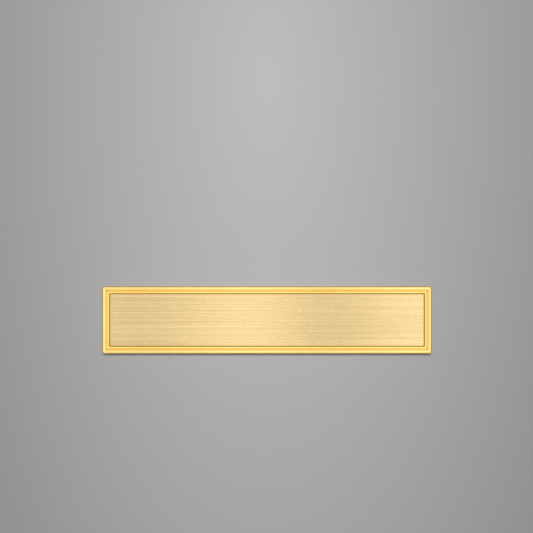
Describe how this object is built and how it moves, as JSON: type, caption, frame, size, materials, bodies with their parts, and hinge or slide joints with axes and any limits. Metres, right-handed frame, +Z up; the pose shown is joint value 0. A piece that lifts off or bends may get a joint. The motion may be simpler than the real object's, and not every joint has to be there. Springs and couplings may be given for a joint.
{
  "type": "bar paperweight",
  "caption": "Flat rectangular bar paperweight: a brushed face plate in a polished mitred moulding, with a weight inside and felt underneath.",
  "frame": {"origin": "the middle of the felt's underside, on the surface that the paperweight lies on", "axes": "+X along the length, +Y across the width towards the rear rail, +Z up, out of the brushed face"},
  "size_m": [0.2, 0.041, 0.012],
  "materials": {
    "polished_brass": "polished and lacquered",
    "brushed_brass": "brushed along the length",
    "plated_steel": "zinc plated",
    "bar_steel": "cold drawn bar",
    "screw_steel": "plain steel",
    "adhesive": "matt film",
    "felt": "pressed wool felt"
  },
  "bodies": {
    "root": {"front_rail": "polished_brass", "rear_rail": "polished_brass", "left_rail": "polished_brass", "right_rail": "polished_brass", "face_plate": "brushed_brass", "corner_key_front_left": "plated_steel", "corner_key_front_right": "plated_steel", "corner_key_rear_right": "plated_steel", "corner_key_rear_left": "plated_steel", "adhesive_sheet": "adhesive", "weight_core": "bar_steel", "base_plate": "plated_steel", "base_screw_front_left": "screw_steel", "base_screw_front_right": "screw_steel", "base_screw_rear_right": "screw_steel", "base_screw_rear_left": "screw_steel", "base_screw_core_left": "screw_steel", "base_screw_core_right": "screw_steel", "felt_pad": "felt"}
  },
  "joints": []
}
